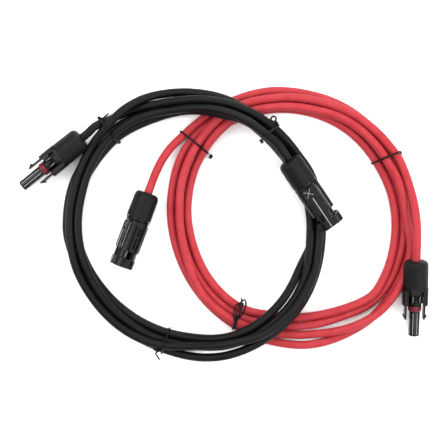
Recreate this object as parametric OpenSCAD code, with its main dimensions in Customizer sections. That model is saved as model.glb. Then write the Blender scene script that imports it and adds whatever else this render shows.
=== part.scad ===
// Pair of coiled solar extension leads, one red and one black, resting on a flat surface.
// Each lead has a socket coupler with two latch fingers on one end and a pin coupler with
// an open shell on the other. Millimetres, +X right, +Y away, +Z up, surface at z = 0.
// Inside a coupler's modules +Z points out of the mating end and z = 0 is its cable entry.

/* [Cable] */
// Outside diameter of the cable jacket
cable_d = 6.4; // [6.0:0.1:6.4]
// Diameter of the stranded copper conductor
conductor_d = 3.2; // [2.6:0.1:3.3]
// Diameter of the wire in the ties
tie_d = 1.1; // [0.8:0.1:1.2]

/* [Gland] */
// Length of a gland nut
nut_len = 20.4; // [19.8:0.1:20.4]
// Radius of a gland nut at its front edge
nut_r = 9.6; // [9.2:0.1:9.8]
// Radius of the threaded spigot that a gland nut screws on
spigot_r = 7.45; // [7.2:0.05:7.5]

/* [Contacts] */
// Diameter of the contact pin and of the bore that takes it
pin_d = 4.0; // [3.5:0.1:4.0]
// Radius of the insulating probe around the socket contact
probe_r = 4.1; // [4.0:0.05:4.1]

/* [Couplers] */
// Distance from the cable entry to the tip of the socket coupler's probe
probe_tip = 58.6; // [57.5:0.1:58.6]
// Distance from the cable entry to the front of the pin coupler's shell
shell_tip = 59.0; // [58.5:0.1:59.5]
// Width across the wings of the socket coupler
wing_w = 19.4; // [19.4:0.1:20.4]
// Width across the collar of the pin coupler
collar_w = 19.4; // [19.0:0.1:19.8]
// Thickness of the pin coupler's collar
collar_h = 15.4; // [15.0:0.1:16.0]

/* [Hidden] */
$fn = 64;
e = 0.05;
cable_r = cable_d / 2;
conductor_r = conductor_d / 2;
tie_r = tie_d / 2;
pin_r = pin_d / 2;

// Where each coupler lies: cable entry, nose-down angle, heading, roll about its own axis
RED_SOCKET = [[145.0, -20.0, 16.8], 11.5, -90, 0];
RED_PIN = [[-57.2, 30.9, 10.07], 0, -110.5, 62];
BLACK_SOCKET = [[-106.9, 72.4, 13.2], 4.5, -141.5, 0];
BLACK_PIN = [[48.4, 54.6, 27.6], 11.2, -55, 0];

// Axial stations shared by both couplers
cage_rear = 4.0;
cage_flange_rear = 8.9;
cage_flange_front = 10.2;
spigot_rear = 10.4;
cage_front = 17.2;
seal_rear = 17.5;
seal_front = 23.0;
jacket_end = 23.5;
crimp_rear = 24.0;
contact_flange_rear = 30.4;
contact_flange_front = 31.6;
shoulder_z = 31.8;
flange_rear = nut_len + 0.3;
corner_r = 6;

// Radii shared by both couplers
cable_hole_r = cable_r + 0.4;
seal_bore_r = 5.5;
contact_r = 3.0;
contact_bore_r = contact_r + 0.15;
contact_flange_r = 3.35;
flange_bore_r = contact_flange_r + 0.15;

// Socket coupler
wing_rear = 21;
wing_front = 34.2;
wing_h = 15.4;
wing_inner = 5.7;
wing_half_h = 5.2;
probe_root = 34.6;
latch_y = 7.1;
latch_half_t = 0.8;
latch_half_w = 2.3;
latch_pivot_z = 29.0;
latch_tip_z = 46.0;
latch_barb = 1.15;
latch_root_r = 1.08;
latch_gap = 0.2;
ring_rear = 35.2;
ring_front = 38.8;
ring_r = 5.1;
ring_seat_r = 3.7;
ring_seat_front = 39.0;
mouth_depth = 1.8;
socket_bore_floor = 38.0;

// Pin coupler
shell_bore_r = 5.2;
shell_floor = 34.4;
body_w = 18.6;
body_h = 15.2;
neck_rear = 46.2;
neck_front = 52.3;
neck_w = 13.2;
channel_w = 16.6;
channel_h = 5.2;
pin_tip = 52.4;
inner_seal_rear = 43.0;
inner_seal_front = 45.8;

// Coils: centre, mean outer radius and ovality. Three strands below, one or two on top.
RED_COIL = [[52.7, 12.7], 98.1, 2.3];
BLACK_COIL = [[-21.9, 6.3], 102.65, 1.35];
bundle_half = cable_d + cable_r;
layer_rise = cable_d * sin(60);
bundle_h = cable_d + layer_rise;
coil_step = 6;
// Angles between which a coil has two strands on top, and how gently the second one joins
RED_FIVE = [-8, 135];
BLACK_FIVE = [40, 132];
upper_fade = 20;
// Sideways place of the outermost strand on top: with two strands there, and with one
two_up = cable_r;
one_up = 0.4 - cable_r;
// The black coil rides over the red one at two places, this far each side of this angle
hump_axis = 4.9;
hump_mid = 62.5;
hump_flat = 15;
hump_ramp = 28;
hump_h = bundle_h + 0.45;

// Lead routes after the straight stretch behind each coupler, by hand, round numbers
RED_SOCKET_ROUTE = [[144.9, 3, 20.2], [144.5, 13, 18.6], [143.4, 23, 15.6],
    [141.2, 34, 12.2], [138, 45, 9.6], [133.5, 56, 8.7]];
RED_PIN_ROUTE = [[-47.5, 54.5, 9], [-40.5, 65, 7], [-31, 74.5, 4.5],
    [-20.6, 83.9, 3.3], [-8.6, 92.9, 3.2], [4.3, 100.1, 3.2], [18, 105.4, 3.2],
    [32.3, 108.6, 3.2]];
BLACK_SOCKET_ROUTE = [[-90.2, 83.8, 10.6], [-84.5, 86.9, 7.2], [-79, 89.6, 5.2], [-72.5, 92.2, 4.8],
    [-62.5, 95.1, 6.4], [-51, 97.6, 9.2], [-39, 99.5, 12.6]];
BLACK_PIN_ROUTE = [[32.7, 72.6, 31], [25.3, 78.4, 30.4], [17.1, 83.9, 29.2],
    [8, 88.5, 27.2], [-2.1, 92.1, 24.8], [-12.7, 94.2, 22.4], [-25, 94.6, 18.6]];
straight_behind = 14;
tube_sides = 10;

// Ties: angle round the coil
RED_TIES = [142.8, 32.6, 239];
BLACK_TIES = [132.5, 50.8, 255.8];
tie_sides = 6;

// ---------- swept solids ----------

function unit(v) = v / norm(v);

// Points of one cross-section: its outline drawn at a place with its own two directions
function ring_at(place, u, v, outline) = [for (q = outline) place + u * q[0] + v * q[1]];

function round_outline(r, sides) =
    [for (k = [0 : sides - 1]) let (a = 360 * k / sides) r * [cos(a), sin(a)]];

// Level direction square to the way, and the direction square to both
function level_side(way) = unit([way[1], -way[0], 0]);
function square_up(way) = cross(level_side(way), unit(way));

// Direction of travel at point i of an open or closed route
function way_at(route, i, closed) =
    let (n = len(route))
    closed ? route[(i + 1) % n] - route[(i + n - 1) % n]
           : route[min(i + 1, n - 1)] - route[max(i - 1, 0)];

// A skin over a row of rings, closed on itself or capped at both ends
module skin(rings, closed) {
    rows = len(rings);
    sides = len(rings[0]);
    last = closed ? rows - 1 : rows - 2;
    function id(i, k) = (i % rows) * sides + (k % sides);
    function halves(i, k) = [[id(i, k), id(i + 1, k), id(i + 1, k + 1)],
        [id(i, k), id(i + 1, k + 1), id(i, k + 1)]];
    walls = [for (i = [0 : last]) for (k = [0 : sides - 1]) for (f = halves(i, k)) f];
    first_cap = [for (k = [0 : sides - 1]) id(0, k)];
    last_cap = [for (k = [sides - 1 : -1 : 0]) id(rows - 1, k)];
    caps = closed ? [] : [first_cap, last_cap];
    points = [for (ring = rings) for (p = ring) p];
    polyhedron(points = points, faces = concat(walls, caps), convexity = 8);
}

module tube(route, r) {
    skin([for (i = [0 : len(route) - 1])
        let (way = way_at(route, i, false))
        ring_at(route[i], level_side(way), square_up(way), round_outline(r, tube_sides))], false);
}

// ---------- coil geometry ----------

// Outline of the wound turns: three strands below, one or two on top, u outwards, v up.
// out is the sideways place of the outer strand on top.
function bundle_outline(out, r) =
    let (lean = atan2(cable_d - out, layer_rise),
        top = cable_r + layer_rise,
        corners = [[[cable_d, cable_r], -90, lean], [[out, top], lean, 90],
            [[-cable_r, top], 90, 150], [[-cable_d, cable_r], 150, 270]])
    [for (c = corners) for (k = [0 : 3])
        let (a = c[1] + (c[2] - c[1]) * k / 3)
        c[0] + r * [cos(a), sin(a)]];

// Radius of the bundle's middle at an angle
function middle_r(coil, a) = coil[1] - coil[2] * cos(2 * a) - bundle_half;

// Cosine ramp from 0 to 1, and how far apart two angles are
function ramp(t) = (1 - cos(180 * min(max(t, 0), 1))) / 2;
function apart(a, b) = abs(((a - b + 540) % 360) - 180);

// Height of the black coil's underside: up to a level stretch and down again, twice
function hump(a) =
    hump_h * ramp((hump_flat + hump_ramp - abs(apart(a, hump_axis) - hump_mid)) / hump_ramp);

// Place of the outer strand on top, which joins the first between the arc's two angles
function upper_out(a, arc) =
    let (inside = (arc[1] - arc[0]) / 2 - apart(a, (arc[0] + arc[1]) / 2))
    one_up + (two_up - one_up) * ramp(inside / upper_fade + 0.5);

function coil_point(coil, a, lift) =
    let (r = middle_r(coil, a))
    [coil[0][0] + r * cos(a), coil[0][1] + r * sin(a), lift];

module coil_ring(coil, lifts, outs) {
    count = 360 / coil_step;
    route = [for (i = [0 : count - 1]) coil_point(coil, i * coil_step, lifts[i])];
    skin([for (i = [0 : count - 1])
        let (way = way_at(route, i, true))
        ring_at(route[i], level_side(way), square_up(way), bundle_outline(outs[i], cable_r))], true);
}

coil_angles = [0 : coil_step : 360 - coil_step];
red_lifts = [for (a = coil_angles) 0];
black_lifts = [for (a = coil_angles) hump(a)];
red_outs = [for (a = coil_angles) upper_out(a, RED_FIVE)];
black_outs = [for (a = coil_angles) upper_out(a, BLACK_FIVE)];

// Wire loop round the bundle at an angle. It is pressed into the jackets underneath.
module tie(coil, a, lift, out) {
    place = coil_point(coil, a, lift);
    away = [cos(a), sin(a), 0];
    along = [-sin(a), cos(a), 0];
    path = [for (q = bundle_outline(out, cable_r + tie_r)) [q[0], max(q[1], tie_r)]];
    n = len(path);
    skin([for (i = [0 : n - 1])
        let (step = unit(path[(i + 1) % n] - path[(i + n - 1) % n]),
            side = [step[1], -step[0]],
            middle = place + away * path[i][0] + [0, 0, path[i][1]])
        ring_at(middle, away * side[0] + [0, 0, side[1]], -along, round_outline(tie_r, tie_sides))], true);
}

// ---------- leads ----------

module place(at) {
    translate(at[0]) rotate([0, 90 + at[1], at[2]]) rotate([0, 0, at[3]]) children();
}

function nose(at) = [cos(at[1]) * cos(at[2]), cos(at[1]) * sin(at[2]), -sin(at[1])];

// The jacket runs straight from inside the coupler, out of the gland and on into the coil
module lead(at, route) {
    along = nose(at);
    stations = [jacket_end, jacket_end / 2, 0, -straight_behind / 2, -straight_behind];
    straight = [for (s = stations) at[0] + along * s];
    tube(concat(straight, route), cable_r);
}

// ---------- gland parts, the same on all four couplers ----------

// A profile turned about the coupler's axis: points are [radius, distance along]
module turned(profile) {
    rotate_extrude() polygon(profile);
}

// A cylinder between two places along the coupler's axis
module rod(from, to, r) {
    translate([0, 0, from]) cylinder(h = to - from, r = r);
}

// Two faint flats and a rounded rear shoulder; plain inside where the real one is threaded
module gland_nut() {
    rear_r = 6.0;
    round_w = 3.2;
    round_len = 3.6;
    rear_edge_r = 9.25;
    flat_depth = 0.25;
    thread_rear = 8.6;
    cone_front_r = 6.6;
    cone_rear = 2.6;
    thread_r = spigot_r + 0.25;
    shoulder = [for (a = [0 : 15 : 75]) [rear_r + round_w * sin(a), round_len * (1 - cos(a))]];
    front = [[rear_edge_r, round_len], [nut_r, nut_len - 0.5], [nut_r - 0.2, nut_len]];
    inside = [[thread_r, nut_len], [thread_r, thread_rear], [cone_front_r, thread_rear],
        [cable_hole_r, cone_rear]];
    across_flats = 2 * (nut_r - flat_depth);
    intersection() {
        turned(concat([[cable_hole_r, 0]], shoulder, front, inside));
        cylinder(h = nut_len, d = across_flats / cos(30), $fn = 6);
    }
}

// Split fingers that the nut's cone closes on the cable, with a flange for the nut to push
module clamp_cage() {
    bore = cable_r + 0.25;
    rear_r = 4.1;
    finger_r = 6.2;
    cone_front = 8.2;
    flange_r = 6.9;
    sleeve_r = 5.35;
    slit = 0.9;
    slit_len = 4.9;
    reach = 20;
    difference() {
        turned([[bore, cage_rear], [rear_r, cage_rear], [finger_r, cone_front],
            [finger_r, cage_flange_rear], [flange_r, cage_flange_rear],
            [flange_r, cage_flange_front], [sleeve_r, cage_flange_front],
            [sleeve_r, cage_front], [bore, cage_front]]);
        for (a = [0 : 60 : 120]) rotate([0, 0, a])
            translate([-reach / 2, -slit / 2, cage_rear - 1]) cube([reach, slit, slit_len]);
    }
}

// Grommet with three lips on its outside
module cable_seal() {
    lip = 5.4;
    neck = 4.9;
    bore = cable_r + 0.05;
    pitch = (seal_front - seal_rear) / 3;
    rib = [[lip, 0.15], [lip, 0.5], [neck, 0.7], [neck, 0.95]];
    ribs = [for (k = [0 : 2]) for (q = rib) [q[0], seal_rear + (k + q[1]) * pitch]];
    turned(concat([[bore, seal_rear]], ribs, [[bore, ribs[len(ribs) - 1][1]]]));
}

module conductor() {
    rod(jacket_end, contact_flange_rear - 0.6, conductor_r);
}

// Threaded spigot that the gland nut screws on
module spigot() {
    rod(spigot_rear, spigot_rear + 11, spigot_r);
}

// Bores for the seal and for the contact's flange
module cable_side_bores() {
    rod(spigot_rear - 1, seal_front + 0.2, seal_bore_r);
    rod(seal_front, shoulder_z, flange_bore_r);
}

module crimp_barrel() {
    barrel_r = 2.6;
    difference() {
        union() {
            rod(crimp_rear, contact_flange_rear + e, barrel_r);
            rod(contact_flange_rear, contact_flange_front, contact_flange_r);
        }
        rod(crimp_rear - 1, contact_flange_rear - 0.3, conductor_r + 0.08);
    }
}

// ---------- socket coupler ----------

// Rounded rectangle, height along X, width along Y
module pill(h, w, r) {
    square([h - 2 * r, w], center = true);
    square([h, w - 2 * r], center = true);
    for (x = [-1, 1]) for (y = [-1, 1]) translate([x * (h / 2 - r), y * (w / 2 - r)]) circle(r = r);
}

// A pill drawn out between two places along the coupler's axis
module pill_block(from, to, h, w, r) {
    translate([0, 0, from]) linear_extrude(to - from) pill(h, w, r);
}

module socket_housing() {
    core_r = 6.9;
    core_front = 26;
    waist_r = 5.0;
    waist_rear = 29.5;
    tip_chamfer = 0.5;
    flute_w = 0.8;
    flute_depth = 0.3;
    mouth_rear = probe_tip - mouth_depth;
    chamfer_rear = probe_tip - tip_chamfer;
    difference() {
        union() {
            spigot();
            pill_block(flange_rear, flange_rear + 2, wing_h, wing_w, corner_r);
            turned([[0, wing_rear], [core_r, wing_rear], [core_r, core_front],
                [waist_r, waist_rear], [waist_r, probe_root], [0, probe_root]]);
            rod(probe_root - e, ring_seat_front + e, ring_seat_r);
            rod(ring_seat_front, chamfer_rear, probe_r);
            translate([0, 0, chamfer_rear - e])
                cylinder(h = tip_chamfer + e, r1 = probe_r, r2 = probe_r - 0.4);
            wings();
            braces();
        }
        cable_side_bores();
        rod(shoulder_z - e, mouth_rear, contact_bore_r);
        rod(mouth_rear - 1, probe_tip + 1, pin_r + 0.35);
        for (a = [45 : 90 : 315]) rotate([0, 0, a])
            translate([probe_r - flute_depth, -flute_w / 2, ring_front + 0.8]) cube([1, flute_w, 30]);
        for (side = [-1, 1]) latch_pocket(side);
    }
}

// The two wings carry the latch fingers and shield their roots
module wings() {
    width = wing_w / 2 - wing_inner;
    for (side = [-1, 1])
        intersection() {
            pill_block(wing_rear, wing_front, wing_h, wing_w, corner_r);
            translate([-wing_half_h, side > 0 ? wing_inner : -wing_w / 2, wing_rear])
                cube([2 * wing_half_h, width, 20]);
        }
}

// Moulded webs between the core and the flange, above and below
module braces() {
    web_y = 2.6;
    web_t = 1.5;
    web = [[4, 22], [7.5, 22], [7.3, 26.5], [5.4, 32], [4, 32]];
    bridge_h = 3.4;
    bridge_w = 4.6;
    bridge_x = 5.6;
    bridge_rear = 22;
    for (face = [0, 180]) rotate([0, 0, face]) {
        for (side = [-1, 1]) translate([0, side * web_y, 0]) rotate([90, 0, 0])
            linear_extrude(web_t, center = true) polygon(web);
        translate([bridge_x - bridge_h / 2, -bridge_w / 2, bridge_rear])
            cube([bridge_h, bridge_w, 3.4]);
    }
}

// Room for a latch finger and its rounded root inside a wing
module latch_pocket(side) {
    half_w = latch_half_w + latch_gap;
    inner = 5.2;
    outer = latch_y + latch_half_t + latch_gap;
    translate([0, side * latch_y, latch_pivot_z]) rotate([0, 90, 0])
        cylinder(h = 2 * half_w, r = latch_root_r + 0.12, center = true);
    translate([-half_w, side > 0 ? inner : -outer, latch_pivot_z])
        cube([2 * half_w, outer - inner, 10]);
}

// Latch finger: rounded root in the wing, flat strip, and a barb that faces outwards
module latch(side) {
    inner = latch_y - latch_half_t;
    outer = latch_y + latch_half_t;
    barb_rear = latch_tip_z - 4.2;
    barb_crest = latch_tip_z - 3.6;
    barb_front = latch_tip_z - 3;
    finger = [[inner, latch_pivot_z], [outer, latch_pivot_z], [outer, barb_rear],
        [outer + latch_barb, barb_crest], [outer + latch_barb, barb_front],
        [outer - 0.7, latch_tip_z], [inner + 0.2, latch_tip_z], [inner, latch_tip_z - 0.6]];
    translate([0, side * latch_y, latch_pivot_z]) rotate([0, 90, 0])
        cylinder(h = 2 * latch_half_w, r = latch_root_r, center = true);
    rotate([90, 0, 90]) linear_extrude(2 * latch_half_w, center = true)
        polygon([for (q = finger) [side * q[0], q[1]]]);
}

// Two rounded lobes side by side
module sealing_ring() {
    bore = ring_seat_r + 0.03;
    groove_r = ring_r - 0.35;
    edge = 0.4;
    mid = (ring_rear + ring_front) / 2;
    turned([[bore, ring_rear], [ring_r - edge, ring_rear], [ring_r, ring_rear + edge],
        [ring_r, mid - 0.5], [groove_r, mid - 0.2], [groove_r, mid + 0.2], [ring_r, mid + 0.5],
        [ring_r, ring_front - edge], [ring_r - edge, ring_front], [bore, ring_front]]);
}

module socket_contact() {
    front = probe_tip - mouth_depth - 0.15;
    crimp_barrel();
    difference() {
        rod(contact_flange_front - e, front, contact_r);
        rod(socket_bore_floor, probe_tip + 10, pin_r);
    }
}

// ---------- pin coupler ----------

module pin_housing() {
    step_r = 9.2;
    step_len = 1.2;
    cone_len = 4.2;
    body_rear = 23;
    difference() {
        union() {
            spigot();
            turned([[0, flange_rear], [step_r, flange_rear], [step_r, flange_rear + step_len],
                [body_h / 2, flange_rear + cone_len], [0, flange_rear + cone_len]]);
            pill_block(body_rear, neck_rear, body_h, body_w, corner_r);
            pill_block(neck_rear - e, neck_front + e, body_h - 1, neck_w, 5);
            pill_block(neck_front, shell_tip, collar_h, collar_w, corner_r);
            for (face = [0, 180]) rotate([0, 0, face]) ridges();
        }
        cable_side_bores();
        rod(shoulder_z - e, shoulder_z + 5, contact_bore_r);
        rod(shell_floor, shell_tip + 5, shell_bore_r);
        translate([-channel_h / 2, -channel_w / 2, inner_seal_front]) cube([channel_h, channel_w, 20]);
        for (face = [0, 180]) rotate([0, 0, face]) broad_face_cuts();
        for (face = [90, 270]) rotate([0, 0, face]) latch_side_cuts();
    }
}

// One long ridge to the front, and a lower one near each edge, on each broad face
module ridges() {
    top = body_h / 2;
    ridge_t = 1.1;
    long_rear = 31.8;
    low_rear = 25;
    low_len = 20.4;
    translate([top - 0.6, 1.2, long_rear]) cube([ridge_t, 0.8, shell_tip - long_rear]);
    for (y = [-6.2, 5.6]) translate([top - 1.2, y, low_rear]) cube([ridge_t, 0.6, low_len]);
}

// Crossed webs in a sunk square, and two slots in line, on each broad face
module broad_face_cuts() {
    top = body_h / 2;
    well = 6.4;
    well_depth = 1.4;
    well_y = -1;
    well_rear = 24.6;
    web_h = 3.4;
    web_t = 0.8;
    slot_w = 1.1;
    slot_len = 8;
    slot_y = -3.5;
    difference() {
        translate([top - well_depth, well_y, well_rear]) cube([4, well, well]);
        translate([top - 2, well_y + well / 2, well_rear + well / 2])
            for (a = [45, -45]) rotate([a, 0, 0]) cube([web_h, web_t, 12], center = true);
    }
    for (z = [24.4, 34.0]) translate([top - 1.6, slot_y, z]) cube([4, slot_w, slot_len]);
}

// Long grooves either side of a raised rail, and two pockets in it
module latch_side_cuts() {
    side = body_w / 2;
    groove_w = 0.9;
    groove_rear = 26;
    pocket_w = 2.4;
    for (y = [-3.0, 2.1]) translate([side - 1.3, y, groove_rear]) cube([3, groove_w, 30]);
    for (q = [[27, 6.5], [35.5, 8.5]])
        translate([side - 1.6, -pocket_w / 2, q[0]]) cube([3, pocket_w, q[1]]);
}

module inner_seal() {
    inner = probe_r + 0.1;
    outer = shell_bore_r - 0.05;
    turned([[inner, inner_seal_rear], [outer, inner_seal_rear], [outer, inner_seal_front],
        [inner + 0.4, inner_seal_front], [inner, inner_seal_front - 0.5]]);
}

module pin_contact() {
    nose_len = 1;
    nose_r = 1.2;
    crimp_barrel();
    rod(contact_flange_front - e, shell_floor, contact_r);
    rod(shell_floor - e, pin_tip - nose_len, pin_r);
    translate([0, 0, pin_tip - nose_len - e]) cylinder(h = nose_len + e, r1 = pin_r, r2 = nose_r);
}

// ---------- nodes ----------

jacket_black = "#28292b";
jacket_red = "#d8434f";
shell_black = "#222324";
copper = "#c77a4a";
tinned = "#c9ccd0";
seal_red = "#9c1c26";
seal_grey = "#8d9194";
wire_black = "#191919";

module red_coil() { color(jacket_red) coil_ring(RED_COIL, red_lifts, red_outs); }
module black_coil() { color(jacket_black) coil_ring(BLACK_COIL, black_lifts, black_outs); }
module red_tie(i, out) { color(wire_black) tie(RED_COIL, RED_TIES[i], 0, out); }
module black_tie(i, out) {
    color(wire_black) tie(BLACK_COIL, BLACK_TIES[i], hump(BLACK_TIES[i]), out);
}

red_coil();
color(jacket_red) lead(RED_SOCKET, RED_SOCKET_ROUTE);  // red_socket_lead
color(jacket_red) lead(RED_PIN, RED_PIN_ROUTE);  // red_pin_lead
red_tie(0, two_up);  // red_tie_upper_left
red_tie(1, two_up);  // red_tie_upper_right
red_tie(2, one_up);  // red_tie_lower
color(shell_black) place(RED_SOCKET) socket_housing();  // red_socket_housing
color(shell_black) place(RED_SOCKET) latch(1);  // red_socket_latch_left
color(shell_black) place(RED_SOCKET) latch(-1);  // red_socket_latch_right
color(seal_red) place(RED_SOCKET) sealing_ring();  // red_socket_sealing_ring
color(tinned) place(RED_SOCKET) socket_contact();  // red_socket_contact
color(copper) place(RED_SOCKET) conductor();  // red_socket_conductor
color(seal_grey) place(RED_SOCKET) cable_seal();  // red_socket_cable_seal
color(shell_black) place(RED_SOCKET) clamp_cage();  // red_socket_clamp_cage
color(shell_black) place(RED_SOCKET) gland_nut();  // red_socket_gland_nut
color(shell_black) place(RED_PIN) pin_housing();  // red_pin_housing
color(seal_red) place(RED_PIN) inner_seal();  // red_pin_inner_seal
color(tinned) place(RED_PIN) pin_contact();  // red_pin_contact
color(copper) place(RED_PIN) conductor();  // red_pin_conductor
color(seal_grey) place(RED_PIN) cable_seal();  // red_pin_cable_seal
color(shell_black) place(RED_PIN) clamp_cage();  // red_pin_clamp_cage
color(shell_black) place(RED_PIN) gland_nut();  // red_pin_gland_nut
black_coil();
color(jacket_black) lead(BLACK_SOCKET, BLACK_SOCKET_ROUTE);  // black_socket_lead
color(jacket_black) lead(BLACK_PIN, BLACK_PIN_ROUTE);  // black_pin_lead
black_tie(0, one_up);  // black_tie_upper_left
black_tie(1, one_up);  // black_tie_upper_right
black_tie(2, one_up);  // black_tie_lower
color(shell_black) place(BLACK_SOCKET) socket_housing();  // black_socket_housing
color(shell_black) place(BLACK_SOCKET) latch(1);  // black_socket_latch_left
color(shell_black) place(BLACK_SOCKET) latch(-1);  // black_socket_latch_right
color(seal_red) place(BLACK_SOCKET) sealing_ring();  // black_socket_sealing_ring
color(tinned) place(BLACK_SOCKET) socket_contact();  // black_socket_contact
color(copper) place(BLACK_SOCKET) conductor();  // black_socket_conductor
color(seal_grey) place(BLACK_SOCKET) cable_seal();  // black_socket_cable_seal
color(shell_black) place(BLACK_SOCKET) clamp_cage();  // black_socket_clamp_cage
color(shell_black) place(BLACK_SOCKET) gland_nut();  // black_socket_gland_nut
color(shell_black) place(BLACK_PIN) pin_housing();  // black_pin_housing
color(seal_red) place(BLACK_PIN) inner_seal();  // black_pin_inner_seal
color(tinned) place(BLACK_PIN) pin_contact();  // black_pin_contact
color(copper) place(BLACK_PIN) conductor();  // black_pin_conductor
color(seal_grey) place(BLACK_PIN) cable_seal();  // black_pin_cable_seal
color(shell_black) place(BLACK_PIN) clamp_cage();  // black_pin_clamp_cage
color(shell_black) place(BLACK_PIN) gland_nut();  // black_pin_gland_nut
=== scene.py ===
"""Two solar extension leads, black and red: coiled cables, wire ties and four couplers on a pale floor."""

import math

import bmesh
import bpy
import numpy as np
from mathutils import Matrix, Vector


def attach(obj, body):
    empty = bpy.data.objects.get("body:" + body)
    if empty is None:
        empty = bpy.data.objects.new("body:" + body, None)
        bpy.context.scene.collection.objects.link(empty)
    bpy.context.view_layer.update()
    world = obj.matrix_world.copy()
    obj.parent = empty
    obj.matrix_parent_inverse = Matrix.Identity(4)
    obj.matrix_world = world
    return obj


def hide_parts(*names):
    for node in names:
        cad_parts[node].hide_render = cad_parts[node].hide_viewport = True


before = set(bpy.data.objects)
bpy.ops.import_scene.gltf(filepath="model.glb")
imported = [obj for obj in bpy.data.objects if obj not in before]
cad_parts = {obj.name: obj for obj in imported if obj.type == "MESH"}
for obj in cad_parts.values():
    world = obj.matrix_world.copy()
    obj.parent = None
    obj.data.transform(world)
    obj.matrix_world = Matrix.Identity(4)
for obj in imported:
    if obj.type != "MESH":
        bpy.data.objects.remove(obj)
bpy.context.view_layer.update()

MM = 0.001

# ---------- camera: straight down, as in the photograph ----------

camera = bpy.data.objects.new("camera", bpy.data.cameras.new("camera"))
camera.data.lens = 85
camera.data.sensor_width = 36
camera.location = (0.0004, 0.0074, 0.812)
camera.data.clip_start = 0.05
camera.data.clip_end = 20
bpy.context.scene.collection.objects.link(camera)
bpy.context.scene.camera = camera

# ---------- measures, in mm, the same as part.scad's ----------

CABLE_R = 3.2
TIE_R = 0.75
TIE_END_R = TIE_R * 0.85
JACKET_END = 23.5        # how far the jacket goes into a coupler
STRAIGHT_BEHIND = 14.0   # straight length of cable behind a coupler
HELD_SHARE = 0.6         # share of that length which settling may not move
LAYER = 5.54             # rise from one layer of strands to the next
TURNS = 4
TURN_POINTS = 202        # over all turns of a coil
SETTLE_SPACING = 3.0
CABLE_SPACING = 2.4
# The probe's own glossy plastic starts here, in metres in the coupler's frame
PROBE_FROM = 0.0388
PROBE_REACH = 0.0048
SHARP = math.radians(32)

# Coupler: middle of its cable entry, nose-down pitch, heading, roll
COUPLERS = {
    "red_socket": ((145.0, -20.0, 16.8), 11.5, -90, 0),
    "red_pin": ((-57.2, 30.9, 10.07), 0, -110.5, 62),
    "black_socket": ((-106.9, 72.4, 13.2), 4.5, -141.5, 0),
    "black_pin": ((48.4, 54.6, 27.6), 11.2, -55, 0),
}
ROUTES = {
    "red_socket": [(144.9, 3, 20.2), (144.5, 13, 18.6), (143.4, 23, 15.6), (141.2, 34, 12.2),
                   (138, 45, 9.6), (133.5, 56, 8.7)],
    "red_pin": [(-47.5, 54.5, 9), (-40.5, 65, 7), (-31, 74.5, 4.5), (-20.6, 83.9, 3.3),
                (-8.6, 92.9, 3.2), (4.3, 100.1, 3.2), (18, 105.4, 3.2), (32.3, 108.6, 3.2)],
    "black_socket": [(-90.2, 83.8, 10.6), (-84.5, 86.9, 7.2), (-79, 89.6, 5.2), (-72.5, 92.2, 4.8),
                     (-62.5, 95.1, 6.4), (-51, 97.6, 9.2), (-39, 99.5, 12.6)],
    "black_pin": [(32.7, 72.6, 31), (25.3, 78.4, 30.4), (17.1, 83.9, 29.2), (8, 88.5, 27.2),
                  (-2.1, 92.1, 24.8), (-12.7, 94.2, 22.4), (-25, 94.6, 18.6)],
}

# Coil: centre, mean outer radius, ovality
COILS = {"red": ((52.7, 12.7), 98.1, 2.3), "black": ((-21.9, 6.3), 102.65, 1.35)}

# How the turns lie at angles round the coil, going clockwise, judged from the photograph:
# for each turn, how far the strand is inside the coil's outer edge, and its layer. Each row's
# last column becomes the next turn.
RED_TURNS = [
    (120, (-0.6, 0), (6.2, 0), (12.8, 0), (12.2, 1.1), (5.6, 1.1)),
    (100, (2.6, 0), (9.6, 0), (16.4, 0), (15.6, 1.1), (8.8, 1.1)),
    (80, (6.0, 0), (12.6, 0), (19.2, 0), (17.2, 1.1), (10.2, 1.0)),
    (62, (6.9, 0), (13.4, 0), (20.2, 0), (15.4, 1.05), (9.0, 1.05)),
    (45, (7.6, 0), (14.0, 0), (20.4, 0), (14.6, 1.1), (7.6, 1.1)),
    (33, (7.6, 0), (13.9, 0), (20.0, 0), (14.0, 1.15), (6.2, 1.1)),
    (15, (6.0, 0), (12.4, 0), (18.2, 0), (11.2, 1.1)),
    (0, (4.6, 0), (11.0, 0), (16.8, 0.1), (10.0, 1.1)),
    (-15, (3.2, 0), (9.4, 0), (15.4, 0.1), (3.8, 1.1)),
    (-33, (2.4, 0), (8.6, 0), (13.2, 0.5), (0.8, 1.1)),
    (-45, (1.4, 0), (9.0, 0), (12.8, 0.9), (0.6, 1.1)),
    (-52, (0.8, 0), (11.0, 0), (15.5, 0.6), (1.9, 1.1)),
    (-65, (1.4, 0), (15.3, 0), (20.4, 0.5), (5.6, 0.9)),
    (-80, (1.8, 0), (16.7, 0), (23.0, 0), (9.4, 0)),
    (-98, (4.4, 0), (17.3, 0), (23.7, 0), (10.9, 0)),
    (-120, (6.4, 0), (12.9, 0), (19.3, 0), (8.6, 1.0)),
    (-140, (6.0, 0), (12.4, 0), (18.0, 0.3), (7.4, 1.1)),
    (-160, (5.0, 0), (11.4, 0), (17.3, 0.2), (10.4, 1.1)),
    (-180, (3.2, 0), (9.6, 0), (15.4, 0.1), (9.8, 1.1)),
    (-195, (1.6, 0), (8.0, 0), (14.4, 0), (8.2, 1.1)),
    (-210, (0.2, 0), (6.6, 0), (13.0, 0), (6.8, 1.1)),
    (-225, (2.4, 0), (9.0, 0), (12.4, 0.9), (6.0, 1.05)),
]
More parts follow.
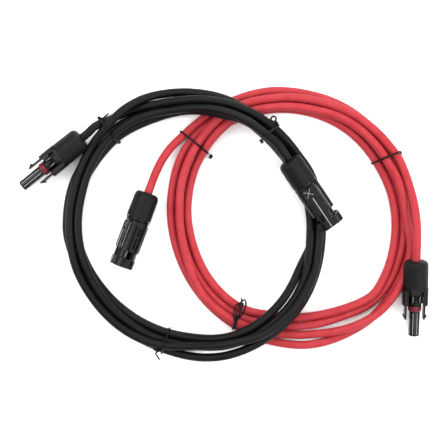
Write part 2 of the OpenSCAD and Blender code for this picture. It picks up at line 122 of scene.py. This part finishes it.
BLACK_TURNS = [
    (96, (9.8, 1.1), (2.6, 0), (10.3, 0), (16.4, 0), (15.6, 1.1)),
    (87, (10.0, 1.05), (4.6, 0), (10.9, 0), (17.0, 0)),
    (75, (9.4, 1.1), (6.4, 0), (12.8, 0), (17.6, 0.6)),
    (63, (8.9, 1.15), (9.0, 0), (15.6, 0), (16.2, 1.15)),
    (52, (8.8, 1.15), (9.6, 0), (17.2, 0), (17.0, 1.15)),
    (45, (8.5, 1.1), (10.0, 0), (17.5, 0), (17.2, 1.15)),
    (36, (7.8, 1.1), (9.4, 0), (16.6, 0), (16.4, 1.15)),
    (22, (5.2, 1.1), (7.6, 0), (14.2, 0), (14.2, 1.15)),
    (5, (6.6, 1.0), (4.6, 0), (11.0, 0), (13.4, 1.0)),
    (-8, (6.8, 1.0), (3.8, 0), (10.8, 0), (12.8, 1.0)),
    (-22, (5.2, 1.0), (2.5, 0), (14.6, 0), (9.6, 0.5)),
    (-34, (5.0, 1.0), (2.2, 0), (15.3, 0), (8.5, 0)),
    (-46, (5.6, 1.0), (2.4, 0), (15.2, 0), (8.8, 0)),
    (-58, (7.0, 1.0), (2.6, 0), (14.9, 0.1), (9.2, 0)),
    (-73, (11.5, 1.1), (2.8, 0), (16.0, 0.3), (10.2, 0)),
    (-88, (13.0, 1.1), (3.8, 0), (18.4, 0.2), (12.2, 0)),
    (-98, (11.4, 1.1), (5.4, 0), (19.0, 0), (12.8, 0)),
    (-108, (9.0, 1.1), (7.0, 0), (19.1, 0), (13.4, 0.2)),
    (-124, (7.7, 1.15), (7.8, 0), (18.8, 0), (14.1, 0.7)),
    (-143, (7.2, 1.15), (7.6, 0), (16.9, 0), (13.8, 1.0)),
    (-163, (6.1, 1.15), (6.4, 0), (13.2, 0), (13.1, 1.15)),
    (-177, (6.2, 1.0), (3.4, 0), (10.6, 0), (12.6, 1.05)),
    (-195, (6.0, 1.0), (3.2, 0), (9.6, 0), (12.4, 1.0)),
    (-208, (5.0, 1.0), (4.4, 0), (11.4, 0), (11.2, 1.1)),
    (-220, (3.3, 1.4), (6.2, 0), (12.6, 0), (10.0, 1.1)),
    (-228, (2.6, 2.1), (6.6, 0), (13.0, 0), (9.8, 1.1)),
    (-235, (1.3, 2.1), (7.4, 0), (14.0, 0), (10.6, 1.1)),
    (-243, (0.4, 1.8), (8.8, 0), (15.2, 0), (11.6, 1.1)),
    (-252, (0.6, 0.9), (9.8, 0), (16.0, 0), (13.6, 1.1)),
]


# ---------- curves ----------

def unit(v):
    v = np.asarray(v, float)
    return v / np.linalg.norm(v, axis=-1, keepdims=True)


def placed(name):
    """Local frame of a coupler: +Z out of its mating end, -X up."""
    at, pitch, heading, roll = COUPLERS[name]
    turn = (Matrix.Rotation(math.radians(heading), 4, "Z")
            @ Matrix.Rotation(math.radians(90 + pitch), 4, "Y")
            @ Matrix.Rotation(math.radians(roll), 4, "Z"))
    return Matrix.Translation(Vector(at) * MM) @ turn


def lead(name):
    """Jacket points from inside a coupler, out of its gland and on towards the coil."""
    at, pitch, heading, _ = COUPLERS[name]
    p, h = math.radians(pitch), math.radians(heading)
    along = np.array([math.cos(p) * math.cos(h), math.cos(p) * math.sin(h), -math.sin(p)])
    stations = (JACKET_END, JACKET_END / 2, 0, -STRAIGHT_BEHIND / 2, -STRAIGHT_BEHIND)
    return [np.array(at) + along * s for s in stations] + [np.array(q, float) for q in ROUTES[name]]


def hump(angle):
    """Height of the black coil's underside, which rides over the red one twice."""
    swing = abs((angle - 4.9 + 540) % 360 - 180)
    t = min(max((43 - abs(swing - 62.5)) / 28, 0), 1)
    return 12.39 * (1 - math.cos(math.pi * t)) / 2


def between(x, xs, ys):
    """Smooth values that never overshoot the given ones."""
    step, rise = np.diff(xs), np.diff(ys)
    slope = rise / step
    left, right = slope[:-1], slope[1:]
    same = left * right > 0
    tangent = np.zeros(len(xs))
    tangent[1:-1][same] = 2 * left[same] * right[same] / (left + right)[same]
    i = np.clip(np.searchsorted(xs, x) - 1, 0, len(step) - 1)
    t = (x - xs[i]) / step[i]
    return (ys[i] * (1 + 2 * t) * (1 - t) ** 2 + ys[i + 1] * t * t * (3 - 2 * t)
            + step[i] * (tangent[i] * t * (1 - t) ** 2 - tangent[i + 1] * t * t * (1 - t)))


def coil_points(colour, turns, first, last):
    """Strand centres every few degrees, clockwise from one angle of the first turn to one of the last."""
    (cx, cy), mean_r, oval = COILS[colour]
    knots = sorted((360 * k - row[0], *q) for row in turns for k, q in enumerate(row[1:]))
    swept, inside, layer = (np.array(c, float) for c in zip(*knots))
    points = []
    for s in np.linspace(-first, 360 * TURNS - last, TURN_POINTS):
        a = -s
        r = mean_r - oval * math.cos(math.radians(2 * a)) - between(s, swept, inside)
        z = CABLE_R + LAYER * between(s, swept, layer) + (hump(a) if colour == "black" else 0)
        points.append((cx + r * math.cos(math.radians(a)), cy + r * math.sin(math.radians(a)), z))
    return [np.array(p) for p in points]


def through(points, spacing):
    """Even points on a centripetal Catmull-Rom curve."""
    p = np.array(points, float)
    p = np.vstack([2 * p[0] - p[1], p, 2 * p[-1] - p[-2]])
    fine = []
    for a, b, c, d in zip(p[:-3], p[1:-2], p[2:-1], p[3:]):
        k = np.cumsum([0] + [max(np.linalg.norm(q - r), 1e-6) ** 0.5 for q, r in ((b, a), (c, b), (d, c))])
        t = np.linspace(k[1], k[2], 12, endpoint=False)[:, None]
        ab = ((k[1] - t) * a + (t - k[0]) * b) / (k[1] - k[0])
        bc = ((k[2] - t) * b + (t - k[1]) * c) / (k[2] - k[1])
        cd = ((k[3] - t) * c + (t - k[2]) * d) / (k[3] - k[2])
        abc = ((k[2] - t) * ab + (t - k[0]) * bc) / (k[2] - k[0])
        bcd = ((k[3] - t) * bc + (t - k[1]) * cd) / (k[3] - k[1])
        fine.append(((k[2] - t) * abc + (t - k[1]) * bcd) / (k[2] - k[1]))
    return even(np.vstack(fine + [p[-2:-1]]), spacing)


def even(path, spacing):
    run = np.concatenate([[0], np.cumsum(np.linalg.norm(np.diff(path, axis=0), axis=1))])
    at = np.linspace(0, run[-1], max(3, int(round(run[-1] / spacing)) + 1))
    return np.column_stack([np.interp(at, run, path[:, k]) for k in range(3)])


def settle(cables, held, rounds=220):
    """Pushes strands apart where they cut one another or the floor; held points stay, couplers are not felt."""
    rest = np.vstack(cables)
    now = rest.copy()
    owner = np.repeat(np.arange(len(cables)), [len(c) for c in cables])
    still = np.concatenate(held)
    ids = np.arange(len(rest))
    for turn in range(rounds):
        if turn % 40 == 0:
            gaps = np.linalg.norm(now[:, None] - now[None], axis=2)
            close = (gaps < 11) & (ids[:, None] < ids[None])
            close &= (owner[:, None] != owner[None]) | (np.abs(ids[:, None] - ids[None]) > 9)
            i, j = np.nonzero(close)
        apart = now[j] - now[i]
        dist = np.linalg.norm(apart, axis=1)
        push = apart / dist[:, None] * np.clip(2 * CABLE_R + 0.05 - dist, 0, None)[:, None] * 0.22
        np.add.at(now, j, push)
        np.add.at(now, i, -push)
        shift = (now - rest) * 0.995
        for k in range(len(cables)):
            mine = shift[owner == k]
            mine[1:-1] = 0.5 * mine[1:-1] + 0.25 * (mine[:-2] + mine[2:])
            shift[owner == k] = mine
        now = rest + shift
        now[:, 2] = np.maximum(now[:, 2], CABLE_R)
        now[still] = rest[still]
    return [now[owner == k] for k in range(len(cables))]


def in_couplers(path):
    """Which points lie in a coupler or straight behind it, at either end."""
    run = np.concatenate([[0], np.cumsum(np.linalg.norm(np.diff(path, axis=0), axis=1))])
    reach = JACKET_END + STRAIGHT_BEHIND * HELD_SHARE
    return (run < reach) | (run > run[-1] - reach)


rough = {
    "red": through(lead("red_pin") + coil_points("red", RED_TURNS, 96, 34)
                   + lead("red_socket")[::-1], SETTLE_SPACING),
    "black": through(lead("black_socket") + coil_points("black", BLACK_TURNS, 90, 98)
                     + lead("black_pin")[::-1], SETTLE_SPACING),
}
settled = dict(zip(rough, settle(list(rough.values()), [in_couplers(p) for p in rough.values()])))


# ---------- meshes ----------

def add_piece(name, mesh, body, material, replaces=()):
    """Links a mesh given in metres, at the origin, and ties it to its body and finish."""
    obj = bpy.data.objects.new(name, mesh)
    bpy.context.scene.collection.objects.link(obj)
    for m in material if isinstance(material, (list, tuple)) else [material]:
        mesh.materials.append(m)
    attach(obj, body)
    if replaces:
        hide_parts(*replaces)
    return obj


def sweep(bm, path, radius, sides, closed=False):
    """Tube along points in metres, with a UV map of distance along and share round."""
    path = np.asarray(path, float)
    n = len(path)
    if closed:
        way = unit(np.roll(path, -1, 0) - np.roll(path, 1, 0))
    else:
        way = unit(np.gradient(path, axis=0))
    across = np.cross(way[0], (0, 0, 1) if abs(way[0][2]) < 0.9 else (1, 0, 0))
    uv = bm.loops.layers.uv.verify()
    run = np.concatenate([[0], np.cumsum(np.linalg.norm(np.diff(path, axis=0), axis=1))])
    radii = radius if hasattr(radius, "__len__") else [radius] * n
    angles = np.linspace(0, 2 * math.pi, sides, endpoint=False)
    sideways = []
    for w in way:
        across = unit(across - w * np.dot(across, w))
        sideways.append(across)
    twist = 0.0
    if closed:
        last = unit(sideways[-1] - way[0] * np.dot(sideways[-1], way[0]))
        twist = math.atan2(np.dot(np.cross(last, sideways[0]), way[0]), np.dot(last, sideways[0]))
    rings = []
    for k, (p, w, u) in enumerate(zip(path, way, sideways)):
        turn = angles + twist * k / n
        up = np.cross(w, u)
        rings.append([bm.verts.new(p + radii[k] * (math.cos(t) * u + math.sin(t) * up)) for t in turn])
    for k in range(n if closed else n - 1):
        a, b = rings[k], rings[(k + 1) % n]
        for s in range(sides):
            e = (s + 1) % sides
            face = bm.faces.new((a[s], a[e], b[e], b[s]))
            face.smooth = True
            u0, u1 = run[k], run[k + 1] if k + 1 < n else run[k] + (run[k] - run[k - 1])
            for loop, q in zip(face.loops, ((u0, s), (u0, s + 1), (u1, s + 1), (u1, s))):
                loop[uv].uv = (q[0], q[1] / sides)
    if not closed:
        for ring, flip in ((rings[0], True), (rings[-1], False)):
            bm.faces.new(ring[::-1] if flip else ring)


def to_mesh(bm, name):
    bmesh.ops.recalc_face_normals(bm, faces=bm.faces)
    mesh = bpy.data.meshes.new(name)
    bm.to_mesh(mesh)
    bm.free()
    return mesh


# ---------- materials ----------

def srgb(r, g, b):
    def linear(c):
        c /= 255
        return c / 12.92 if c <= 0.04045 else ((c + 0.055) / 1.055) ** 2.4
    return (linear(r), linear(g), linear(b), 1)


class Shader:
    """Small helper for node materials."""

    def __init__(self, name):
        self.material = bpy.data.materials.new(name)
        self.material.use_nodes = True
        self.tree = self.material.node_tree
        self.bsdf = next(n for n in self.tree.nodes if n.type == "BSDF_PRINCIPLED")
        self.place = self.add("ShaderNodeTexCoord")

    def add(self, kind, **values):
        node = self.tree.nodes.new(kind)
        for key, value in values.items():
            if hasattr(node, key):
                setattr(node, key, value)
            else:
                socket = node.inputs[key.replace("_", " ")]
                if isinstance(value, bpy.types.NodeSocket):
                    self.tree.links.new(value, socket)
                else:
                    socket.default_value = value
        return node

    def link(self, out, into):
        self.tree.links.new(out, into)

    def noise(self, scale, detail=4, rough=0.55, coord="Object"):
        return self.add("ShaderNodeTexNoise", Vector=self.place.outputs[coord], Scale=scale,
                        Detail=detail, Roughness=rough).outputs["Fac"]

    def ramp(self, value, stops):
        node = self.add("ShaderNodeValToRGB", Fac=value)
        ramp = node.color_ramp
        while len(ramp.elements) < len(stops):
            ramp.elements.new(0.5)
        for element, (at, colour) in zip(ramp.elements, stops):
            element.position = at
            element.color = colour
        return node.outputs["Color"]

    def spread(self, value, low, high):
        node = self.add("ShaderNodeMapRange", Value=value)
        node.inputs["From Min"].default_value = 0.3
        node.inputs["From Max"].default_value = 0.7
        node.inputs["To Min"].default_value = low
        node.inputs["To Max"].default_value = high
        return node.outputs["Result"]

    def math(self, operation, a, b):
        node = self.add("ShaderNodeMath", operation=operation)
        for socket, value in zip(node.inputs, (a, b)):
            if isinstance(value, bpy.types.NodeSocket):
                self.link(value, socket)
            else:
                socket.default_value = value
        return node.outputs[0]

    def mix(self, share, a, b):
        node = self.add("ShaderNodeMix", data_type="RGBA")
        for socket, value in ((node.inputs[0], share), (node.inputs[6], a), (node.inputs[7], b)):
            if isinstance(value, bpy.types.NodeSocket):
                self.link(value, socket)
            else:
                socket.default_value = value
        return node.outputs[2]

    def finish(self, colour, rough, height, depth, **constants):
        self.link(colour, self.bsdf.inputs["Base Color"])
        self.link(rough, self.bsdf.inputs["Roughness"])
        bump = self.add("ShaderNodeBump", Height=height, Distance=depth)
        bump.inputs["Strength"].default_value = 1.0
        self.link(bump.outputs["Normal"], self.bsdf.inputs["Normal"])
        for key, value in constants.items():
            self.bsdf.inputs[key.replace("_", " ")].default_value = value
        return self.material


def moulded(name, low, high, rough, grain=2600, depth=0.00003, **constants):
    """Moulded plastic or rubber: cloudy colour, spark-eroded grain and scuffed patches."""
    s = Shader(name)
    cloud = s.noise(90, 5)
    fine = s.noise(grain, 3, 0.6)
    scuffs = s.noise(420, 6, 0.7)
    colour = s.ramp(s.math("ADD", s.math("MULTIPLY", cloud, 0.6), s.math("MULTIPLY", fine, 0.4)),
                    [(0.36, low), (0.64, high)])
    height = s.math("ADD", fine, s.math("MULTIPLY", scuffs, 0.5))
    return s.finish(colour, s.spread(scuffs, rough - 0.08, rough + 0.08), height, depth, **constants)


def jacket(name, low, high, dust, rough, gloss):
    """Extruded jacket: faint lines along its length, pressed patches and a little dust."""
    s = Shader(name)
    split = s.add("ShaderNodeSeparateXYZ", Vector=s.place.outputs["UV"])
    lines = s.math("SINE", s.math("MULTIPLY", split.outputs["Y"], 2 * math.pi * 22), 0)
    fine_lines = s.math("SINE", s.math("MULTIPLY", split.outputs["Y"], 2 * math.pi * 57), 0)
    patches = s.noise(130, 5, 0.6)
    grain = s.noise(2400, 4, 0.65)
    specks = s.noise(1500, 2, 0.5)
    body = s.ramp(s.math("ADD", s.math("MULTIPLY", patches, 0.7), s.math("MULTIPLY", grain, 0.3)),
                  [(0.34, low), (0.66, high)])
    dusted = s.spread(s.math("SUBTRACT", specks, 0.17), 0, 0.16)
    colour = s.mix(dusted, body, dust)
    streaks = s.math("MULTIPLY", s.math("ADD", lines, fine_lines), 0.12)
    height = s.math("ADD", s.math("ADD", streaks, grain), s.math("MULTIPLY", patches, 0.8))
    return s.finish(colour, s.spread(patches, rough - 0.06, rough + 0.08), height, 0.00004,
                    Specular_IOR_Level=gloss)


def metal(name, low, high, rough):
    """Plated or drawn metal with fine turning marks."""
    s = Shader(name)
    marks = s.noise(3200, 3, 0.6)
    stain = s.noise(300, 4, 0.6)
    colour = s.ramp(stain, [(0.35, low), (0.65, high)])
    return s.finish(colour, s.spread(stain, rough - 0.06, rough + 0.1), marks, 0.00001, Metallic=1.0)


JACKETS = {
    "red": jacket("jacket_red", srgb(147, 31, 39), srgb(160, 48, 54), srgb(184, 104, 108), 0.44, 0.14),
    "black": jacket("jacket_black", srgb(4, 4, 5), srgb(11, 11, 12), srgb(40, 40, 42), 0.42, 0.12),
}
NUT = moulded("nut_plastic", srgb(9, 9, 10), srgb(18, 18, 19), 0.5, 2400, 0.00003,
              Specular_IOR_Level=0.12)
# Paler plastic on the nut's rounded edges: a painted highlight.
NUT_PAINTED_HIGHLIGHT_EDGE = moulded("nut_edge_painted_highlight", srgb(20, 20, 21), srgb(32, 32, 33), 0.4, 2400, 0.00001,
                   Specular_IOR_Level=0.2)
SHELL = moulded("shell_plastic", srgb(5, 5, 6), srgb(12, 12, 13), 0.24, 3000, 0.000008,
                Specular_IOR_Level=0.14)
PROBE = moulded("probe_plastic", srgb(4, 4, 5), srgb(9, 9, 10), 0.14, 3400, 0.000002,
                Specular_IOR_Level=0.25)
# Paler plastic on the rounded edges of housings and latches: a painted highlight.
PAINTED_HIGHLIGHT_EDGE = moulded("edge_painted_highlight", srgb(64, 65, 66), srgb(98, 99, 100), 0.22, 3000, 0.000006,
               Specular_IOR_Level=0.6)
CAGE = moulded("cage_plastic", srgb(18, 18, 20), srgb(28, 28, 30), 0.44, Specular_IOR_Level=0.2)
SEAL = moulded("cable_seal_rubber", srgb(108, 112, 116), srgb(128, 132, 136), 0.44, 1800, 0.00002)
# Pale plastic for the strips on the ribs: painted highlights.
PAINTED_HIGHLIGHT_CREST = moulded("crest_painted_highlight", srgb(150, 151, 152), srgb(190, 191, 192), 0.2, 3000, 0.000004,
                Specular_IOR_Level=0.6)
RED_RUBBER = moulded("red_seal_rubber", srgb(72, 8, 20), srgb(98, 14, 28), 0.30, 1800, 0.000012,
                     Specular_IOR_Level=0.3)
WIRE = moulded("tie_coating", srgb(3, 3, 4), srgb(9, 9, 10), 0.36, 2200, 0.00002,
               Specular_IOR_Level=0.12)
CONTACT = metal("tinned_metal", srgb(92, 93, 92), srgb(118, 118, 116), 0.4)
COPPER = metal("copper_metal", srgb(160, 88, 54), srgb(186, 114, 76), 0.30)


# ---------- cables ----------

for colour, first in (("red", "red_pin"), ("black", "black_socket")):
    centres = through(settled[colour][::2], CABLE_SPACING) * MM
    bm = bmesh.new()
    sweep(bm, centres, CABLE_R * MM, 20)
    cable = add_piece(f"{colour}_cable", to_mesh(bm, f"{colour}_cable"), f"{colour}_lead_set",
                      JACKETS[colour],
                      [f"{colour}_coil", f"{colour}_socket_lead", f"{colour}_pin_lead"])


# ---------- wire ties ----------

def outline(centres, r):
    """Taut outline round circles: the hull of points on them."""
    points = sorted({(round(c[0] + r * math.cos(a), 4), round(c[1] + r * math.sin(a), 4))
                     for c in centres for a in np.linspace(0, 2 * math.pi, 32, endpoint=False)})

    def half(row):
        out = []
        for p in row:
            while len(out) > 1 and ((out[-1][0] - out[-2][0]) * (p[1] - out[-2][1])
                                    - (out[-1][1] - out[-2][1]) * (p[0] - out[-2][0])) <= 0:
                out.pop()
            out.append(p)
        return out[:-1]

    return half(points) + half(points[::-1])


def crossings(path, inner, outer):
    """Where a cable passes through the upright plane between two points: distance along, height."""
    reach = np.linalg.norm(outer - inner)
    along = (outer - inner) / reach
    side = np.array([-along[1], along[0]])
    rel = path[:, :2] - inner
    off, run = rel @ side, rel @ along
    found = []
    for k in np.nonzero(off[:-1] * off[1:] < 0)[0]:
        t = off[k] / (off[k] - off[k + 1])
        s, z = run[k] + t * (run[k + 1] - run[k]), path[k, 2] + t * (path[k + 1, 2] - path[k, 2])
        if -3 < s < reach + 3:
            found.append((s, z))
    return found


def twist(bm, spine, pitch=3.6):
    """Two wires wound round each other along a line."""
    spine = through(spine, 0.4)
    way = unit(np.gradient(spine, axis=0))
    u = unit(np.cross(way, (0.2, 0.1, 1)))
    v = np.cross(way, u)
    run = np.concatenate([[0], np.cumsum(np.linalg.norm(np.diff(spine, axis=0), axis=1))])
    for phase in (0, math.pi):
        turn = (run / pitch * 2 * math.pi + phase)[:, None]
        strand = spine + TIE_R * 0.9 * (np.cos(turn) * u + np.sin(turn) * v)
        strand[:, 2] = np.maximum(strand[:, 2], TIE_R)
        sweep(bm, strand * MM, TIE_END_R * MM, 8)


def bow(bm, foot, tip, width, lift):
    """A long loop of the wire's end folded back on itself, standing over the strands."""
    foot, tip = np.array(foot, float), np.array(tip, float)
    side = unit(np.cross(tip - foot, (0, 0, 1))) * width / 2
    near, far = foot + (tip - foot) * 0.35, foot + (tip - foot) * 0.8
    points = [foot, near + side + (0, 0, lift), far + side + (0, 0, lift),
              tip + (0, 0, lift * 0.6), far - side, near - side, foot]
    sweep(bm, through(points, 0.6) * MM, TIE_END_R * MM, 8)


def tie(name, inner, outer, twisted=(), bows=(), tails=()):
    """A wire loop drawn tight round the strands, with its twisted ends, loops and loose tails, in mm."""
    colour = name.split("_")[0]
    inner, outer = np.array(inner, float), np.array(outer, float)
    along = unit(outer - inner)
    cut = crossings(settled[colour], inner, outer)
    loop = [np.array([*(inner + along * s), max(z, TIE_R)]) for s, z in outline(cut, CABLE_R + TIE_R * 0.8)]
    loop = even(np.array(loop + [loop[0]]), 1.1)[:-1]
    bm = bmesh.new()
    sweep(bm, loop * MM, TIE_R * MM, 10, closed=True)
    for spine in twisted:
        twist(bm, spine)
    for foot, tip, width, lift in bows:
        bow(bm, foot, tip, width, lift)
    for line in tails:
        sweep(bm, through(line, 0.6) * MM, TIE_END_R * MM, 8)
    return add_piece(f"{name}_wire", to_mesh(bm, name), f"{colour}_lead_set", WIRE, [name])


tie("red_tie_upper_left", (-10.8, 60.3), (-32.6, 78),
    twisted=[[(-10, 59.8, 6), (-9.3, 59, 3.5), (-10.5, 58, 1.8)]])
tie("red_tie_upper_right", (113.9, 53.8), (133.2, 62),
    twisted=[[(134, 62.3, 7), (135.2, 61.8, 4.5), (135.4, 60.6, 2)]])
tie("red_tie_lower", (16.3, -49.6), (7.1, -72.7),
    twisted=[[(7.6, -71.5, 9), (8.6, -68.6, 12), (9.2, -66, 13.6)]],
    bows=[((9.6, -65.4, 13.4), (16.2, -49.8, 13.2), 4.4, 1.6),
          ((8.8, -65.6, 13.6), (11.6, -52.4, 13.4), 4.0, 2.4)],
    tails=[[(9.4, -65.8, 13.8), (12, -59, 15.4), (13.6, -51, 15.2), (13.9, -48, 14.4)]])
tie("black_tie_upper_left", (-80, 69.1), (-94.5, 87.7),
    twisted=[[(-94, 86.4, 11), (-94.6, 87.4, 11.6), (-93.4, 88.2, 12)],
             [(-81.6, 70.8, 6), (-80.6, 69.6, 4), (-79.4, 70, 2)]],
    tails=[[(-93.8, 87.8, 12), (-91.2, 87.2, 14), (-88.8, 88.8, 15.4), (-86.4, 90.8, 15.4)]])
tie("black_tie_upper_right", (28.5, 70.5), (41, 80.9),
    twisted=[[(39.4, 79.6, 24), (40.4, 81.4, 23.6), (38.8, 83.8, 22.6)],
             [(29.2, 71, 22), (28, 69.4, 21), (29.4, 68.2, 20)]],
    bows=[((38.6, 84, 22.4), (36.4, 87.4, 21.4), 3.4, 1.0)])
tie("black_tie_lower", (-41.2, -72.4), (-47.6, -92.4),
    twisted=[[(-46.6, -88.6, 9.5), (-48.4, -88.2, 10), (-50.2, -88.8, 9)]],
    bows=[((-48.4, -88.6, 9.6), (-52.6, -84.6, 9), 4.0, 1.2)],
    tails=[[(-50, -88.8, 9), (-51.4, -91.2, 7), (-50.4, -93.6, 5), (-48.8, -96.2, 4.4)]])


# ---------- couplers ----------

def moulding(node, body, materials, bevel, zone=None):
    """A CAD solid with rounded edges in the last material, a paler plastic that paints highlights on the edges.
    """
    bm = bmesh.new()
    bm.from_mesh(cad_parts[node].data)
    bmesh.ops.remove_doubles(bm, verts=bm.verts, dist=2e-6)
    bmesh.ops.dissolve_limit(bm, angle_limit=math.radians(0.6), verts=bm.verts, edges=bm.edges)
    mesh = bpy.data.meshes.new(f"{node}_moulding")
    bm.to_mesh(mesh)
    bm.free()
    obj = add_piece(f"{node}_moulding", mesh, body, materials, [node])
    mesh.shade_smooth()
    mesh.set_sharp_from_angle(angle=SHARP)
    mod = obj.modifiers.new("edges", "BEVEL")
    mod.width = bevel * MM
    mod.segments = 2
    mod.limit_method = "ANGLE"
    mod.angle_limit = SHARP
    mod.use_clamp_overlap = True
    mod.harden_normals = False
    # The rounded edges take the last material, a painted highlight.
    mod.material = len(materials) - 1
    weighted = obj.modifiers.new("normals", "WEIGHTED_NORMAL")
    weighted.keep_sharp = True
    made = bpy.data.meshes.new_from_object(obj.evaluated_get(bpy.context.evaluated_depsgraph_get()))
    obj.modifiers.clear()
    obj.data = made
    if zone:
        matrix, rule = zone
        back = matrix.inverted()
        for face in made.polygons:
            if face.material_index == 0 and rule(back @ face.center):
                face.material_index = 1
    return obj


def helix(name, matrix, body, from_z, to_z, r, wire, pitch, material, sides=6):
    """A screw thread as a swept ridge that fades in and out at its ends."""
    count = int((to_z - from_z) / pitch * 40)
    t = np.linspace(0, 1, count)
    turn = t * (to_z - from_z) / pitch * 2 * math.pi
    local = np.column_stack([r * np.cos(turn), r * np.sin(turn), from_z + t * (to_z - from_z)]) * MM
    fade = np.clip(np.minimum(t, 1 - t) * 14, 0.1, 1) * wire * MM
    world = [matrix @ Vector(p) for p in local]
    bm = bmesh.new()
    sweep(bm, [tuple(p) for p in world], fade, sides)
    return add_piece(name, to_mesh(bm, name), body, material)


def painted_highlight_crests(name, matrix, body, lines):
    """Pale strips on the ribs, painted highlights: ends and radius, in the coupler's frame, in mm."""
    bm = bmesh.new()
    for a, b, r in lines:
        points = [np.array(a) + (np.array(b) - np.array(a)) * t for t in (0, 0.04, 0.5, 0.96, 1)]
        world = [matrix @ Vector(p * MM) for p in points]
        sweep(bm, [tuple(p) for p in world], [q * r * MM for q in (0.3, 1, 1, 1, 0.3)], 6)
    return add_piece(f"{name}_crests", to_mesh(bm, f"{name}_crests"), body, PAINTED_HIGHLIGHT_CREST)


for name in COUPLERS:
    colour, kind = name.split("_")
    matrix = placed(name)
    body = f"{colour}_lead_set"
    moulding(f"{name}_gland_nut", f"{name}_nut_body", [NUT, NUT_PAINTED_HIGHLIGHT_EDGE], 0.22)
    if kind == "socket":
        on_probe = (matrix, lambda p: p.z > PROBE_FROM and math.hypot(p.x, p.y) < PROBE_REACH)
        moulding(f"{name}_housing", body, [SHELL, PROBE, PAINTED_HIGHLIGHT_EDGE], 0.14, on_probe)
        for side in ("left", "right"):
            latch = f"{name}_latch_{side}"
            moulding(latch, f"{latch}_body", [SHELL, PAINTED_HIGHLIGHT_EDGE], 0.14)
        # Pale strips along the probe's ribs and on the webs: painted highlights.
        around = [math.radians(22.5 + 45 * k) for k in range(8)]
        lines = [tuple((4.04 * math.cos(a), 4.04 * math.sin(a), z) for z in (39.8, 57.6)) + (0.16,)
                 for a in around]
        lines += [((f * 7.3, f * y, 26.6), (f * 5.4, f * y, 31.8), 0.12)
                  for f in (1, -1) for y in (-2.6, 2.6)]
        painted_highlight_crests(name, matrix, body, lines)
    else:
        moulding(f"{name}_housing", body, [SHELL, PAINTED_HIGHLIGHT_EDGE], 0.16)
        # Pale strips along the ridge and the ribs: painted highlights.
        lines = []
        for f in (1, -1):
            lines += [((f * 8.08, f * 1.6, 32), (f * 8.08, f * 1.6, 58.8), 0.22),
                      ((f * 7.24, f * -0.7, 24.9), (f * 7.24, f * 5.1, 30.7), 0.13),
                      ((f * 7.24, f * 5.1, 24.9), (f * 7.24, f * -0.7, 30.7), 0.13),
                      ((f * 7.5, f * -5.9, 25.2), (f * 7.5, f * -5.9, 45.2), 0.1)]
        painted_highlight_crests(name, matrix, body, lines)
    helix(f"{name}_spigot_thread", matrix, body, 12, 20, 7.42, 0.2, 2, SHELL)

KEPT = {"sealing_ring": RED_RUBBER, "inner_seal": RED_RUBBER, "contact": CONTACT, "conductor": COPPER,
        "cable_seal": SEAL, "clamp_cage": CAGE}
for node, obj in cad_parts.items():
    for ending, material in KEPT.items():
        if node.endswith(ending):
            obj.data.materials.clear()
            obj.data.materials.append(material)

# ---------- floor and light ----------

bm = bmesh.new()
bmesh.ops.create_grid(bm, x_segments=8, y_segments=8, size=2.5)
floor = bpy.data.objects.new("floor", to_mesh(bm, "floor"))
floor.location.z = -0.0004
bpy.context.scene.collection.objects.link(floor)
s = Shader("floor_paint")
paint = s.ramp(s.noise(3), [(0.4, (0.93, 0.93, 0.93, 1)), (0.6, (0.95, 0.95, 0.95, 1))])
floor.data.materials.append(s.finish(paint, s.spread(s.noise(9), 0.6, 0.7), s.noise(60), 0.00002))


def area(name, at, aim, size, power, height=None):
    light = bpy.data.lights.new(name, "AREA")
    light.energy = power
    light.size = size
    if height:
        light.shape = "RECTANGLE"
        light.size_y = height
    obj = bpy.data.objects.new(name, light)
    obj.location = at
    obj.rotation_euler = (Vector(aim) - Vector(at)).to_track_quat("-Z", "Y").to_euler()
    bpy.context.scene.collection.objects.link(obj)


area("key", (-0.4, 0.55, 1.5), (0, 0, 0), 1.6, 22)
area("fill", (0.8, -0.7, 1.2), (0, 0, 0), 1.6, 17)
area("strip_far", (0.2, 1.0, 0.6), (0, 0, 0), 1.2, 8, 0.1)
area("strip_left", (-1.0, 0.1, 0.75), (0, 0, 0), 0.1, 7, 1.2)
area("strip_right", (1.0, 0.1, 0.75), (0, 0, 0), 0.1, 7, 1.2)

world = bpy.data.worlds.new("world")
world.use_nodes = True
world.node_tree.nodes["Background"].inputs["Color"].default_value = (1, 1, 1, 1)
world.node_tree.nodes["Background"].inputs["Strength"].default_value = 0.66
bpy.context.scene.world = world
bpy.context.scene.view_settings.view_transform = "Standard"
bpy.context.scene.view_settings.look = "None"
